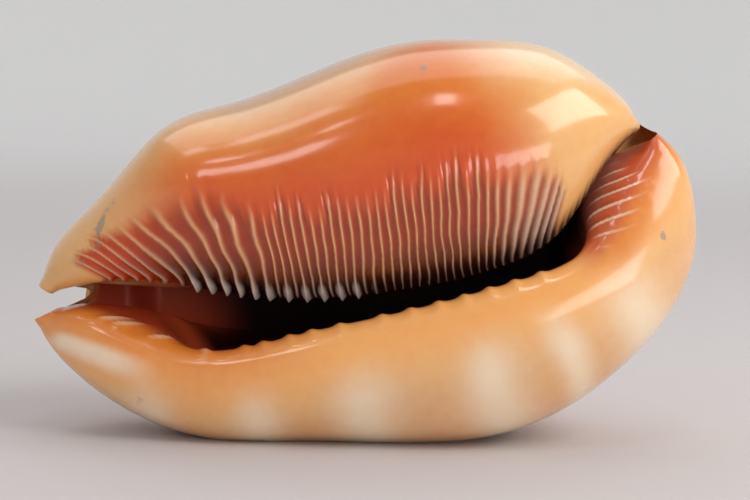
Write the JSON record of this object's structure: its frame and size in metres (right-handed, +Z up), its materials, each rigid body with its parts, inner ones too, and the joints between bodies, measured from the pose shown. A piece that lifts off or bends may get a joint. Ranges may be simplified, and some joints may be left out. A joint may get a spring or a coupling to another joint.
{
  "type": "cowrie shell",
  "caption": "Glossy orange-tan cowrie shell lying on its side, hollow, with a long toothed slit between two rolled lips.",
  "frame": {"origin": "middle of the shell's box, on the surface that it rests on", "axes": "+Z up from the resting flat, +X along the shell towards its rear end, -Y out of the slit"},
  "size_m": [0.0834, 0.0446, 0.0512],
  "materials": {
    "shell": "glossy natural enamel, orange base with cream ridges and tan flanks"
  },
  "bodies": {
    "root": {"cowrie_shell": "shell"}
  },
  "joints": []
}
